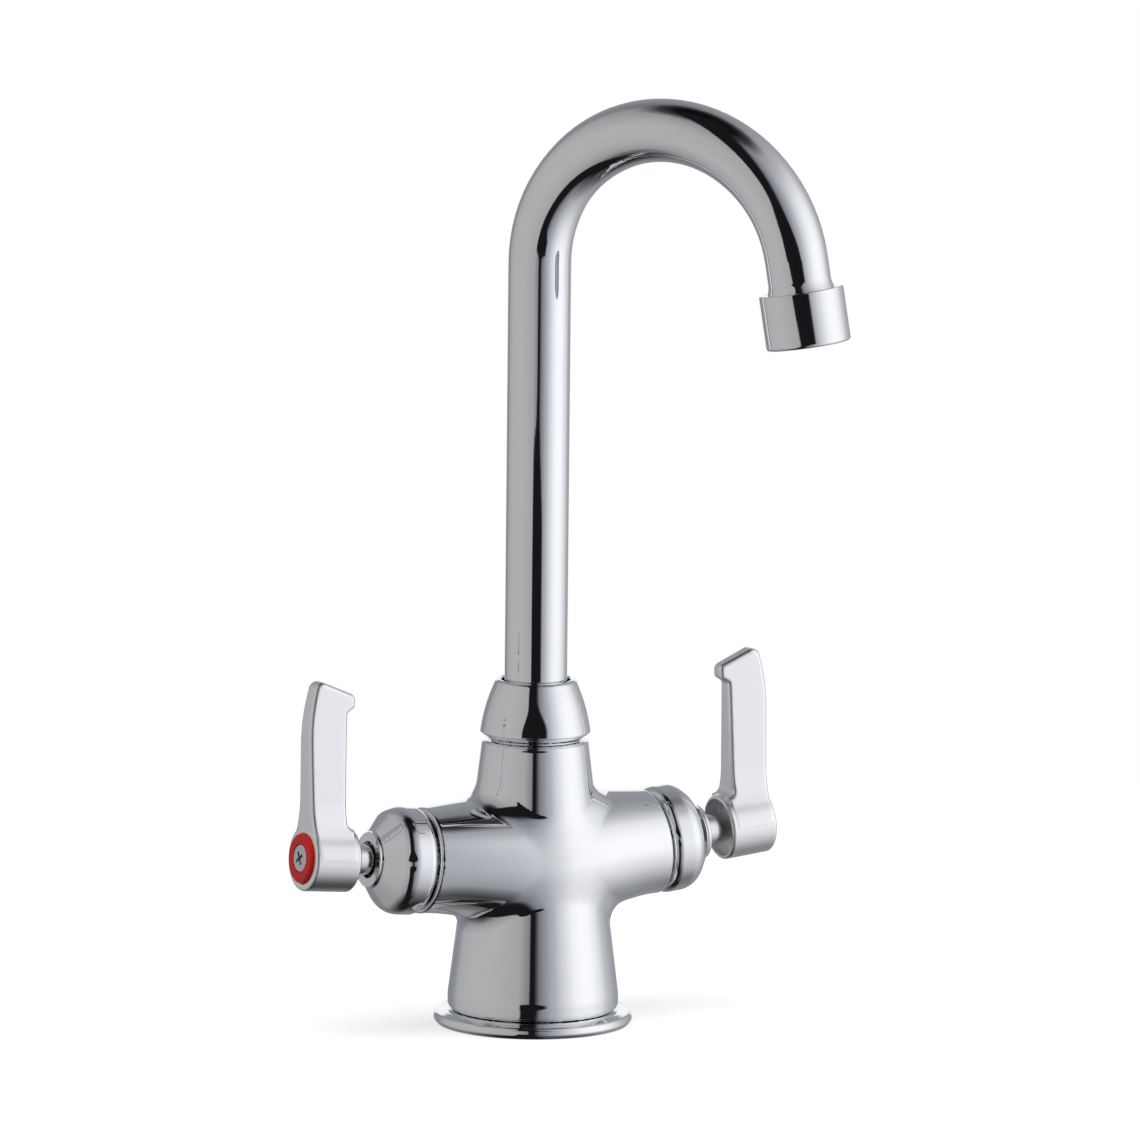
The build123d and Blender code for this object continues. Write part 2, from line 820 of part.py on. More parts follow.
def save(name, shape):
    export_step(shape, f"parts/{name}.step")


save("body", make_body())
save("base_ring", make_base_ring())
save("base_gasket", make_base_gasket())
save("spout_collar", make_spout_collar())
save("spout_thrust_washer", make_thrust_washer())
save("spout_friction_washer", make_friction_washer())

valve_pieces = {
    "bonnet_nut": make_bonnet_nut(),
    "cartridge_body": make_cartridge_body(),
    "cartridge_seal": make_cartridge_seal(),
    "fixed_disc": make_fixed_disc(),
    "seat_seal": make_seat_seal(),
    "stem": make_stem(),
    "stem_o_ring": make_stem_o_ring(),
    "stem_clip": make_stem_clip(),
    "moving_disc": make_moving_disc(),
    "lever": make_lever(),
    "index_ring": make_index_ring(),
    "handle_screw": make_handle_screw(),
}
for water, side in (("hot", -1), ("cold", 1)):
    for piece, shape in valve_pieces.items():
        save(f"{water}_{piece}", valve_plane(side) * shape)

# The spout is drawn in the XZ plane and swung about Z from straight ahead.
swing = Rot(0, 0, spout_swing - 90)
save("spout_tube", swing * make_spout_tube())
save("spout_ferrule", swing * make_spout_ferrule())
save("spout_o_rings", swing * make_spout_o_rings())
outlet_pieces = {
    "spout_nose": make_spout_nose(),
    "aerator_housing": make_aerator_housing(),
    "aerator_gasket": make_aerator_gasket(),
    "aerator_insert": make_aerator_insert(),
    "aerator_screen": make_aerator_screen(),
    "flow_restrictor": make_flow_restrictor(),
}
for piece, shape in outlet_pieces.items():
    save(piece, swing * (outlet_plane() * shape))
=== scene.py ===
from math import cos, pi, radians, sin, tan

import bmesh
import bpy
import numpy as np
from mathutils import Euler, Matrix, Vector


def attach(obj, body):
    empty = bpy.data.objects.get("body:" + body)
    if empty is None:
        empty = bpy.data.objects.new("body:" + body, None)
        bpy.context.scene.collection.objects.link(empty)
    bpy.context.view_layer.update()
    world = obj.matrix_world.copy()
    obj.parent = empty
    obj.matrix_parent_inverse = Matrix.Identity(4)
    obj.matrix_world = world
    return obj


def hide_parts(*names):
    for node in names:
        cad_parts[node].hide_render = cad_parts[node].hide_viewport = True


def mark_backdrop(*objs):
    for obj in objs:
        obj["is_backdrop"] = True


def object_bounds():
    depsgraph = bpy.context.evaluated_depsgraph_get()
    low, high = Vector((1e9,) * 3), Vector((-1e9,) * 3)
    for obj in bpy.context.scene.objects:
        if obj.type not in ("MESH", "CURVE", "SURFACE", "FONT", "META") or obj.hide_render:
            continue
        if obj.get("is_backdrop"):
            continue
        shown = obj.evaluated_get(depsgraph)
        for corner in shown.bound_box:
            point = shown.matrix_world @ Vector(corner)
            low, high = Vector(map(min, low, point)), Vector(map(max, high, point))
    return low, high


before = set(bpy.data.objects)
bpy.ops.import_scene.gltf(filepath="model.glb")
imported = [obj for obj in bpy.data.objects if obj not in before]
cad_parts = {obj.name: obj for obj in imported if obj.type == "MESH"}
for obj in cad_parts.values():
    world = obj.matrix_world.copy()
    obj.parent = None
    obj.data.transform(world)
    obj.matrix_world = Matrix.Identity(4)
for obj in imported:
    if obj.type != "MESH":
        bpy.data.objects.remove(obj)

cad_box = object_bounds()

MM = 0.001

# The camera stands where it was fitted to the photograph.
camera_place = Vector((-2.04915, -3.93542, 0.88063))
camera_turn = Euler([radians(angle) for angle in (80.4974, -0.5617, -27.5402)])
camera_lens = 473.242
camera_sensor = 36


class Value:
    """A shader socket that can be used in Python arithmetic."""

    def __init__(self, nodes, socket):
        self.nodes = nodes
        self.socket = socket

    def maths(self, operation, *values):
        return self.nodes.add("Math", {"operation": operation}, dict(enumerate(values)))

    def __add__(self, other):
        return self.maths("ADD", self, other)

    def __radd__(self, other):
        return self.maths("ADD", other, self)

    def __sub__(self, other):
        return self.maths("SUBTRACT", self, other)

    def __rsub__(self, other):
        return self.maths("SUBTRACT", other, self)

    def __mul__(self, other):
        return self.maths("MULTIPLY", self, other)

    def __rmul__(self, other):
        return self.maths("MULTIPLY", other, self)

    def __truediv__(self, other):
        return self.maths("DIVIDE", self, other)

    def above(self, other):
        """1 where this is above the other value, 0 elsewhere."""
        return self.maths("GREATER_THAN", self, other)

    def rise(self, low, high):
        """0 below low, 1 above high and smooth in between; turned round if low is above high."""
        settings = {"interpolation_type": "SMOOTHSTEP"}
        if low < high:
            return self.nodes.add("MapRange", settings, {0: self, 1: low, 2: high})
        return self.nodes.add("MapRange", settings, {0: self, 1: high, 2: low, 3: 1, 4: 0})


class Nodes:
    """Adds nodes to the tree of one material or world."""

    def __init__(self, tree):
        self.tree = tree
        tree.nodes.clear()

    def add(self, kind, settings=None, inputs=None, output=0):
        """New node: its settings first, then its inputs by name or number."""
        node = self.tree.nodes.new("ShaderNode" + kind)
        for name, value in (settings or {}).items():
            if name == "stops":
                self.fill_ramp(node.color_ramp, value)
            else:
                setattr(node, name, value)
        for name, value in (inputs or {}).items():
            if isinstance(value, Value):
                self.tree.links.new(value.socket, node.inputs[name])
            else:
                node.inputs[name].default_value = value
        return Value(self, node.outputs[output]) if node.outputs else node

    def fill_ramp(self, ramp, stops):
        """Stops are pairs of a position and a colour or grey level."""
        while len(ramp.elements) < len(stops):
            ramp.elements.new(1.0)
        for element, (position, level) in zip(ramp.elements, stops):
            element.position = position
            element.color = colour(level if isinstance(level, tuple) else (level,) * 3)

    def ramp(self, value, stops):
        return self.add("ValToRGB", {"stops": stops}, {0: value})

    def coordinates(self):
        return self.add("TexCoord", output="Object")

    def parts_of(self, vector):
        """The three parts of a vector as values."""
        split = self.add("SeparateXYZ", inputs={0: vector})
        return [Value(self, socket) for socket in split.socket.node.outputs]

    def dot(self, vector, other):
        settings = {"operation": "DOT_PRODUCT"}
        return self.add("VectorMath", settings, {0: vector, 1: other}, output=1)

    def unit(self, vector):
        return self.add("VectorMath", {"operation": "NORMALIZE"}, {0: vector})

    def stretched(self, vector, factors):
        return self.add("VectorMath", {"operation": "MULTIPLY"}, {0: vector, 1: factors})

    def mix(self, factor, first, second, blend="MIX"):
        """Mix of two colours."""
        settings = {"data_type": "RGBA", "blend_type": blend}
        return self.add("Mix", settings, {0: factor, 6: colour(first), 7: colour(second)}, 2)

    def noise(self, vector, scale, detail=2, roughness=0.5):
        inputs = {"Vector": vector, "Scale": scale, "Detail": detail, "Roughness": roughness}
        return self.add("TexNoise", {}, inputs)

    def bump(self, height, distance, strength):
        inputs = {"Height": height, "Distance": distance, "Strength": strength}
        return self.add("Bump", {}, inputs)


def colour(value):
    """A colour as the four numbers that a socket takes; a link stays a link."""
    return value if isinstance(value, Value) else (*value, 1)


def surface(name, build):
    """New material; build fills a Nodes and returns the shader of the surface."""
    material = bpy.data.materials.new(name)
    material.use_nodes = True
    nodes = Nodes(material.node_tree)
    nodes.add("OutputMaterial", {}, {"Surface": build(nodes)})
    return material


def finish(name, build):
    """New material with a principled shader; build returns the shader's inputs."""
    return surface(name, lambda nodes: nodes.add("BsdfPrincipled", {}, build(nodes)))


def polished_chrome(nodes):
    """Mirror plating over a hand-polished casting."""
    place = nodes.coordinates()
    waves = nodes.noise(place, 60, 1)
    peel = nodes.noise(place, 1400, 2)
    smears = nodes.noise(place, 180, 4, 0.6)
    return {
        "Base Color": nodes.mix(smears, (0.86, 0.87, 0.885), (0.9, 0.905, 0.91)),
        "Metallic": 1,
        "Roughness": 0.025 + 0.03 * smears,
        "Normal": nodes.bump(waves + 0.012 * peel, 0.05 * MM, 0.5),
    }


def satin_chrome(nodes):
    """Pearl plating over a fine blasted casting."""
    place = nodes.coordinates()
    grain = nodes.noise(place, 5200, 3, 0.6)
    cloud = nodes.noise(place, 90, 3)
    return {
        "Base Color": nodes.mix(cloud, (0.93, 0.935, 0.945), (0.985, 0.985, 0.99)),
        "Metallic": 1,
        "Roughness": 0.24 + 0.06 * cloud + 0.08 * grain,
        "Normal": nodes.bump(grain, 0.03 * MM, 0.6),
    }


def nickel_brass(nodes):
    """Nickel-plated brass turned on a lathe."""
    place = nodes.coordinates()
    grain = nodes.noise(nodes.stretched(place, (6000, 200, 200)), 1, 2)
    return {
        "Base Color": nodes.mix(grain, (0.82, 0.815, 0.8), (0.92, 0.915, 0.9)),
        "Metallic": 1,
        "Roughness": 0.13 + 0.08 * grain,
        "Normal": nodes.bump(grain, 0.01 * MM, 0.5),
    }


def black_rubber(nodes):
    """Moulded nitrile rubber with a dusty bloom."""
    place = nodes.coordinates()
    grain = nodes.noise(place, 2500, 4, 0.6)
    bloom = nodes.noise(place, 140, 3)
    return {
        "Base Color": nodes.mix(bloom, (0.018, 0.018, 0.02), (0.05, 0.05, 0.052)),
        "Roughness": 0.5 + 0.2 * grain,
        "Normal": nodes.bump(grain, 0.03 * MM, 0.5),
    }


def grained(dark, light, metallic, roughness, noise, bump):
    """Finish with one fine grain in its colour, roughness and relief."""
    def build(nodes):
        grain = nodes.noise(nodes.coordinates(), *noise)
        smoothest, spread = roughness
        return {
            "Base Color": nodes.mix(grain, dark, light),
            "Metallic": metallic,
            "Roughness": smoothest + spread * grain,
            "Normal": nodes.bump(grain, *bump),
        }
    return build


def enamel(deep, bright):
    """Coloured plastic of an index ring, from its deep colour to its bright one."""
    def build(nodes):
        place = nodes.coordinates()
        cloud = nodes.noise(place, 500, 3)
        return {
            "Base Color": nodes.mix(cloud, deep, bright),
            "Roughness": 0.3 + 0.12 * cloud,
            "Specular IOR Level": 0.25,
            "Normal": nodes.bump(nodes.noise(place, 1500, 2), 0.01 * MM, 0.4),
        }
    return build


# Stainless steel has marks of the forming tool, brass inside is machined and a little dull,
# the valve discs are lapped, and the plastics are moulded.
finishes = {
    "polished_chrome": polished_chrome,
    "satin_chrome": satin_chrome,
    "nickel_brass": nickel_brass,
    "steel": grained(
        (0.62, 0.62, 0.63), (0.76, 0.76, 0.77), metallic=1, roughness=(0.18, 0.12),
        noise=(3000, 4, 0.6), bump=(0.01 * MM, 0.6)),
    "raw_brass": grained(
        (0.68, 0.47, 0.2), (0.83, 0.62, 0.3), metallic=1, roughness=(0.22, 0.14),
        noise=(2200, 3, 0.6), bump=(0.015 * MM, 0.5)),
    "black_rubber": black_rubber,
    "ceramic": grained(
        (0.78, 0.77, 0.73), (0.86, 0.85, 0.82), metallic=0, roughness=(0.12, 0.1),
        noise=(4000, 3), bump=(0.005 * MM, 0.5)),
    "white_plastic": grained(
        (0.74, 0.74, 0.72), (0.82, 0.82, 0.8), metallic=0, roughness=(0.3, 0.15),
        noise=(1800, 3), bump=(0.01 * MM, 0.5)),
    "restrictor_plastic": grained(
        (0.1, 0.22, 0.5), (0.14, 0.28, 0.58), metallic=0, roughness=(0.3, 0.15),
        noise=(1800, 3), bump=(0.01 * MM, 0.5)),
    "hot_red": enamel((0.5, 0.005, 0.003), (0.68, 0.012, 0.006)),
    "cold_blue": enamel((0.008, 0.06, 0.36), (0.016, 0.1, 0.5)),
}
materials = {name: finish(name, build) for name, build in finishes.items()}

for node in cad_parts.values():
    for slot in node.material_slots:
        slot.material = materials[slot.material.name.split(".")[0]]


def round_union(first, second, radius):
    """Joins two solids given by distance, with a fillet in the corner between them."""
    gap = np.hypot(np.maximum(radius - first, 0), np.maximum(radius - second, 0))
    return np.maximum(radius, np.minimum(first, second)) - gap


def round_common(first, second, radius):
    """Common part of two solids given by distance, with a round edge."""
    return -round_union(-first, -second, radius)


def rounded_outline(corners):
    """Points round a closed outline whose corners are (height, station, blend)."""
    long_blend, arc_points, long_arc_points = 10, 9, 33
    points = []
    for number, (height, station, blend) in enumerate(corners):
        corner = np.array((height, station))
        before = np.array(corners[number - 1][:2]) - corner
        after = np.array(corners[(number + 1) % len(corners)][:2]) - corner
        before, after = before / np.hypot(*before), after / np.hypot(*after)
        half = np.arccos(before @ after) / 2
        middle = (before + after) / np.hypot(*(before + after))
        centre = corner + middle * blend / sin(half)
        start = corner + before * blend / tan(half) - centre
        end = corner + after * blend / tan(half) - centre
        for share in np.linspace(0, 1, arc_points if blend < long_blend else long_arc_points):
            arm = start * (1 - share) + end * share
            points.append(centre + arm * blend / np.hypot(*arm))
    return np.array(points)


def outline_distance(points, outline):
    """Distance from points to a closed outline, negative inside it."""
    nearest = np.full(len(points), np.inf)
    inside = np.zeros(len(points), bool)
    for start, end in zip(outline, np.roll(outline, -1, axis=0)):
        run = end - start
        offset = points - start
        share = np.clip(offset @ run / (run @ run), 0, 1)
        nearest = np.minimum(nearest, np.hypot(*(offset - share[:, None] * run).T))
        between = (start[1] > points[:, 1]) != (end[1] > points[:, 1])
        if run[1]:
            inside ^= between & (offset[:, 0] < run[0] * offset[:, 1] / run[1])
    return np.where(inside, -nearest, nearest)


def skin(field, low, high, step):
    """Quads, vertices and normals of the surface where a field of distance is zero.

    One vertex for each cell that the surface crosses, pulled onto the surface. Corners of the
    grid are only measured one by one where a coarse grid of blocks lies near the surface."""
    block = 4
    near_blocks = 1.5
    pulls, pull_share, least_slope = 4, 0.9, 0.2
    coarse = [np.arange(start, end, block * step) for start, end in zip(low, high)]
    axes = [start + step * np.arange(block * len(places))
            for start, places in zip(low, coarse)]
    middles = np.stack(np.meshgrid(*coarse, indexing="ij"), -1) + (block - 1) / 2 * step
    far = field(middles.reshape(-1, 3)).reshape(middles.shape[:3])
    for axis in range(3):
        far = far.repeat(block, axis)
    corners = np.stack(np.meshgrid(*axes, indexing="ij"), -1)
    inside = far < 0
    near = np.abs(far) < near_blocks * block * step
    inside[near] = field(corners[near]) < 0
    cells = np.zeros([size - 1 for size in inside.shape], int)
    for x in (0, 1):
        for y in (0, 1):
            for z in (0, 1):
                cells += inside[x:x - 1 or None, y:y - 1 or None, z:z - 1 or None]
    crossed = (cells > 0) & (cells < 8)
    numbers = np.full(cells.shape, -1)
    numbers[crossed] = np.arange(crossed.sum())
    vertices = corners[:-1, :-1, :-1][crossed] + step / 2
    quads = []
    for axis in range(3):
        nearer = np.delete(inside, -1, axis)
        farther = np.delete(inside, 0, axis)
        across, along = np.eye(3, dtype=int)[[(axis + 1) % 3, (axis + 2) % 3]]
        for outward in (True, False):
            edges = np.argwhere((nearer == outward) & (farther != outward))
            ring = [edges - across - along, edges - along, edges, edges - across]
            quad = np.stack([numbers[tuple(cell.T)] for cell in ring], 1)
            quads.append(quad if outward else quad[:, ::-1])
    for _ in range(pulls):
        slopes = gradient(field, vertices)
        pull = field(vertices) / np.maximum((slopes**2).sum(1), least_slope)
        vertices = vertices - pull_share * pull[:, None] * slopes
    slopes = gradient(field, vertices)
    normals = slopes / np.linalg.norm(slopes, axis=1, keepdims=True)
    return np.concatenate(quads), vertices, normals


def gradient(field, points):
    """Slopes of a field of distance along the three axes."""
    reach = 0.02
    return np.stack([
        (field(points + reach * axis) - field(points - reach * axis)) / (2 * reach)
        for axis in np.eye(3)
    ], 1)


def turned(outline, count):
    """Quads, vertices and normals of a closed outline of (height, radius) turned about Z."""
    run = np.roll(outline, -1, axis=0) - np.roll(outline, 1, axis=0)
    run = run / np.hypot(*run.T)[:, None]
    angles = np.arange(count) * 2 * pi / count
    around = np.stack([np.cos(angles), np.sin(angles)], 1)
    points = len(outline)
    vertices = np.zeros((count, points, 3))
    normals = np.zeros((count, points, 3))
    vertices[:, :, :2] = around[:, None] * outline[:, 1, None]
    vertices[:, :, 2] = outline[:, 0]
    normals[:, :, :2] = around[:, None] * run[:, 0, None]
    normals[:, :, 2] = -run[:, 1]
    numbers = np.arange(count * points).reshape(count, points)
    onward = np.roll(numbers, -1, axis=0)
    quads = np.stack([numbers, onward, np.roll(onward, -1, axis=1), np.roll(numbers, -1, axis=1)])
    quads = quads.reshape(4, -1).T
    return quads, vertices.reshape(-1, 3), normals.reshape(-1, 3)


def placed(name, data, place):
    """New object in the scene."""
    thing = bpy.data.objects.new(name, data)
    bpy.context.collection.objects.link(thing)
    thing.location = place
    return thing


def new_piece(name, vertices, faces, normals, body, slot):
    """Smooth mesh piece in its finish, riding on a body."""
    mesh = bpy.data.meshes.new(name)
    mesh.from_pydata(vertices.tolist(), [], faces.tolist())
    mesh.polygons.foreach_set("use_smooth", [True] * len(mesh.polygons))
    mesh.normals_split_custom_set_from_vertices(normals.tolist())
    mesh.materials.append(materials[slot])
    piece = placed(name, mesh, (0, 0, 0))
    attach(piece, body)
    return piece


# Millimetres from here on. Places on a valve are given as height square to its axis, across,
# and station out along it.
valve_axis_z = 48.4
valve_tilt = 5.5
turned_segments = 160

# Lever handles, cast with softer edges than the CAD model's.
hub_radius = 9.85
hub_inner = 63.1
hub_outer = 78.4
hub_web = 67.45
hub_edge = 1.0
hub_cavity_radius = 8.6
ring_seat_radius = 7.5
ring_seat_bottom = 77.6
stem_socket_half = 3.5
stem_socket_depth = 7
screw_hole_radius = 2.1
lever_height = 54.3
lever_taper = radians(2.4)
lever_flare = 25.0
blade_half = 2.2
blade_widening = 0.75
blade_depth = 19.75
blade_edge = 1.3
inner_blend = 0.3
lever_step = 0.5
lever_box = (-10.6, -10.6, 62.4), (55.2, 10.6, 83.2)
lever_side = rounded_outline([
    (0, 64.3, 0.5), (hub_radius, 64.3, 0.5), (hub_radius, 66.5, 2.0), (44.4, 68.95, 1.3),
    (46.2, 66.55, 1.4), (49.8, 66.55, 1.9), (lever_height, 80.15, 2.6), (41.5, 81.85, 60),
    (0, 77.4, 0.5),
])


def front_distance(height, across, station):
    """Distance to the lever's front outline: a tapered blade that flares into the hub."""
    tip_half = blade_half + blade_widening * (station - hub_inner) / blade_depth
    face = lever_height * sin(lever_taper) + tip_half * cos(lever_taper)
    along = np.sqrt((hub_radius + lever_flare)**2 - (face + lever_flare)**2)
    centre_height = along * cos(lever_taper) + (face + lever_flare) * sin(lever_taper)
    centre_across = (face + lever_flare) * cos(lever_taper) - along * sin(lever_taper)
    up, out = height - centre_height, across - centre_across
    below = up * cos(lever_taper) < out * sin(lever_taper)
    beside = out * centre_height < up * centre_across
    sides = height * sin(lever_taper) + across * cos(lever_taper) - face
    straight = np.minimum(sides, np.hypot(height, across) - hub_radius)
    return np.where(below & beside, lever_flare - np.hypot(up, out), straight)


def lever_distance(points):
    """Distance to the lever's surface from points of (height, across, station)."""
    height, across, station = points.T
    ring = np.hypot(height, across)
    front = front_distance(height, np.abs(across), station)
    side = outline_distance(np.stack([height, station], 1), lever_side)
    blade = round_common(front, side, blade_edge)
    slab = np.abs(station - (hub_inner + hub_outer) / 2) - (hub_outer - hub_inner) / 2
    hub = round_common(ring - hub_radius, slab, hub_edge)
    lever = round_union(blade, hub, inner_blend)
    cavity = np.maximum(ring - hub_cavity_radius, station - hub_web)
    lever = round_common(lever, -cavity, inner_blend)
    ring_seat = np.maximum(ring - ring_seat_radius, ring_seat_bottom - station)
    socket = np.maximum(np.abs(height), np.abs(across)) - stem_socket_half
    socket = np.maximum(socket, station - hub_web - stem_socket_depth)
    return np.maximum.reduce([lever, -ring_seat, -socket, screw_hole_radius - ring])


# Body casting, as the CAD model has it, with smoother blends for the polish. The arms' centre
# and half height are given at the column, at their swell and at their end. The column's outline
# runs past its axis, so that it is solid, and its spigot carries the collar.
arm_radius = 15.9
arm_length = 39.6
arm_edge = 1.0
arm_swell_place = 21.8
arm_centre = 50.0, 51.3, 52.2
arm_half_height = 20.0, 18.0, arm_radius
arm_root_half_depth = 22.4
arm_bend = 0.25
front_blend = 3.0
added_side_blend = 2.4
side_blend_start = 17
side_blend_run = 8
foot_bottom = 4.2
foot_radius = 25.7
foot_band_top = 9.0
neck_top = 86.5
neck_radius = 16.1
spigot_top = 94.5
spigot_radius = 13.375
past_axis = -30
recess_radius = 20.5
recess_top = 18.0
gasket_lip_radius = 22.75
gasket_lip_top = 5.65
spout_socket_radius = 11.075
spout_socket_bottom = 65.7
nut_thread_radius = 12.55
nut_thread_bottom = 31.6
cartridge_bore_radius = 10.1
cartridge_bore_bottom = 20.1
inlet_place = 11
inlet_radius = 5
inlet_top = 30
body_step = 0.65
body_box = (-41.6, -27.2, 3.2), (42.4, 27.6, 96.0)
column_side = rounded_outline([
    (foot_bottom, past_axis, 0.1), (foot_bottom, foot_radius, 1.5),
    (foot_band_top, foot_radius, 12), (neck_top, neck_radius, 1.3),
    (neck_top, spigot_radius, 0.8), (spigot_top, spigot_radius, 0.3),
    (spigot_top, past_axis, 0.1),
])


def smooth(share):
    """Smooth step from 0 to 1."""
    share = np.clip(share, 0, 1)
    return share**2 * (3 - 2 * share)


def swelling(place, root, swell, end):
    """Size of the arms that passes through its values at the root, the swell and the end."""
    fall = np.maximum(1 - (place / arm_length)**2, 0)
    swell_fall = 1 - (arm_swell_place / arm_length)**2
    return end + (root - end) * fall**(np.log((swell - end) / (root - end)) / np.log(swell_fall))


def body_distance(points):
    """Distance to the surface of the body casting."""
    x, y, z = points.T
    beside = np.abs(x)
    ring = np.hypot(x, y)
    column = outline_distance(np.stack([z, ring], 1), column_side)
    half_high = swelling(beside, *arm_half_height)
    high = (z - swelling(beside, *arm_centre)) / half_high
    outward = np.hypot(beside / arm_length, arm_bend) - arm_bend
    drawn_in = (arm_root_half_depth - arm_radius) * outward / (np.hypot(1, arm_bend) - arm_bend)
    half_deep = arm_root_half_depth - drawn_in
    reach = np.hypot(high, y / half_deep)
    arms = reach * (reach - 1) / np.maximum(np.hypot(high / half_high, y / half_deep**2), 1e-6)
    tilt = radians(valve_tilt)
    station = beside * cos(tilt) + (z - valve_axis_z) * sin(tilt)
    height = (z - valve_axis_z) * cos(tilt) - beside * sin(tilt)
    arms = round_common(arms, station - arm_length, arm_edge)
    beside_front = smooth((side_blend_start - np.abs(y)) / side_blend_run)
    body = round_union(column, arms, front_blend + added_side_blend * beside_front)
    round_valve = np.hypot(height, y)
    round_inlet = np.hypot(beside - inlet_place, y)
    holes = [
        np.maximum(ring - recess_radius, z - recess_top),
        np.maximum(ring - gasket_lip_radius, z - gasket_lip_top),
        np.maximum(ring - spout_socket_radius, spout_socket_bottom - z),
        np.maximum(round_valve - nut_thread_radius, nut_thread_bottom - station),
        np.maximum(round_valve - cartridge_bore_radius, cartridge_bore_bottom - station),
        np.maximum(round_inlet - inlet_radius, z - inlet_top),
    ]
    return np.maximum.reduce([body] + [-hole for hole in holes])


def body_casting():
    """Column with two arms, cast in one and polished."""
    quads, vertices, normals = skin(body_distance, *body_box, body_step)
    piece = new_piece("body_casting", vertices * MM, quads, normals,
                      "faucet_body", "polished_chrome")
    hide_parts("body")


def spout_collar():
    """Bell-shaped collar, turned and polished."""
    bottom, shelf, top = 87.2, 98.2, 104.9
    skirt_bore, bore = 13.5, 10.35
    outline = rounded_outline([
        (bottom, skirt_bore, 0.1), (bottom, 14.475, 0.4), (89.1, 16.775, 0.5), (96.5, 15.6, 50),
        (top, 12.1, 1.5), (top, bore, 0.6), (shelf, bore, 0.1), (shelf, skirt_bore, 0.1),
    ])
    quads, vertices, normals = turned(outline, turned_segments)
    piece = new_piece("spout_collar_shell", vertices * MM, quads, normals,
                      "faucet_body", "polished_chrome")
    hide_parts("spout_collar")


def on_valves(quads, vertices, normals, name, body, slot, node):
    """The same piece on both valves, drawn with its height, across and station."""
    tilt = radians(valve_tilt)
    for water, side in (("hot", -1), ("cold", 1)):
        frame_of_valve = np.array([
            (-side * sin(tilt), 0, cos(tilt)),
            (0, -side, 0),
            (side * cos(tilt), 0, sin(tilt)),
        ])
        places = vertices @ frame_of_valve + (0, 0, valve_axis_z)
        piece = new_piece(f"{water}_{name}", places * MM, quads, normals @ frame_of_valve,
                          body.format(water=water), slot)
        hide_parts(f"{water}_{node}")


def lever_handles():
    """Levers with their hubs, cast in one."""
    lever = skin(lever_distance, *lever_box, lever_step)
    on_valves(*lever, "lever_casting", "{water}_handle", "satin_chrome", "lever")


def bonnet_nuts():
    """Domed nuts with a rounded bead next to the arm, turned."""
    skirt_end, arm_side, cone_start, nose_start, nose_end = 34.0, 40.1, 49.3, 55.5, 56.6
    end_wall = 55.2
    skirt_bore, skirt_radius, bead_radius, nose_radius = 10.9, 12.5, 16.3, 8.3
    stem_hole, cartridge_hole = 5.5, 7.25
    outline = rounded_outline([
        (skirt_end, skirt_bore, 0.1), (skirt_end, skirt_radius, 0.1),
        (arm_side, skirt_radius, 0.1), (arm_side, bead_radius, 2.8),
        (cone_start, bead_radius, 6.0), (nose_start, nose_radius, 1.3),
        (nose_end, nose_radius, 0.3), (nose_end, stem_hole, 0.3),
        (end_wall, stem_hole, 0.1), (end_wall, cartridge_hole, 0.1),
        (54.0, cartridge_hole, 0.1), (48.1, skirt_bore, 0.1),
    ])
    nut = turned(outline, turned_segments)
    on_valves(*nut, "bonnet_nut_shell", "faucet_body", "polished_chrome", "bonnet_nut")


lever_handles()
bonnet_nuts()
body_casting()
spout_collar()


# The stage, in metres.
tent_radius = 0.9
tent_centre = 0, 0, 0.14
tent_strength = 1.14
floor_radius = 0.45
floor_gap = 0.02 * MM
floor_glow = 0.62
room_strength = 0.45
lamps = [  # name, place, size, power
    ("top_lamp", (-0.1, -0.2, 1.3), 1.1, 10.0),
    ("side_lamp", (1.3, -0.9, 0.8), 0.9, 6.0),
]
lamp_target = Vector((0, 0, 0.1))


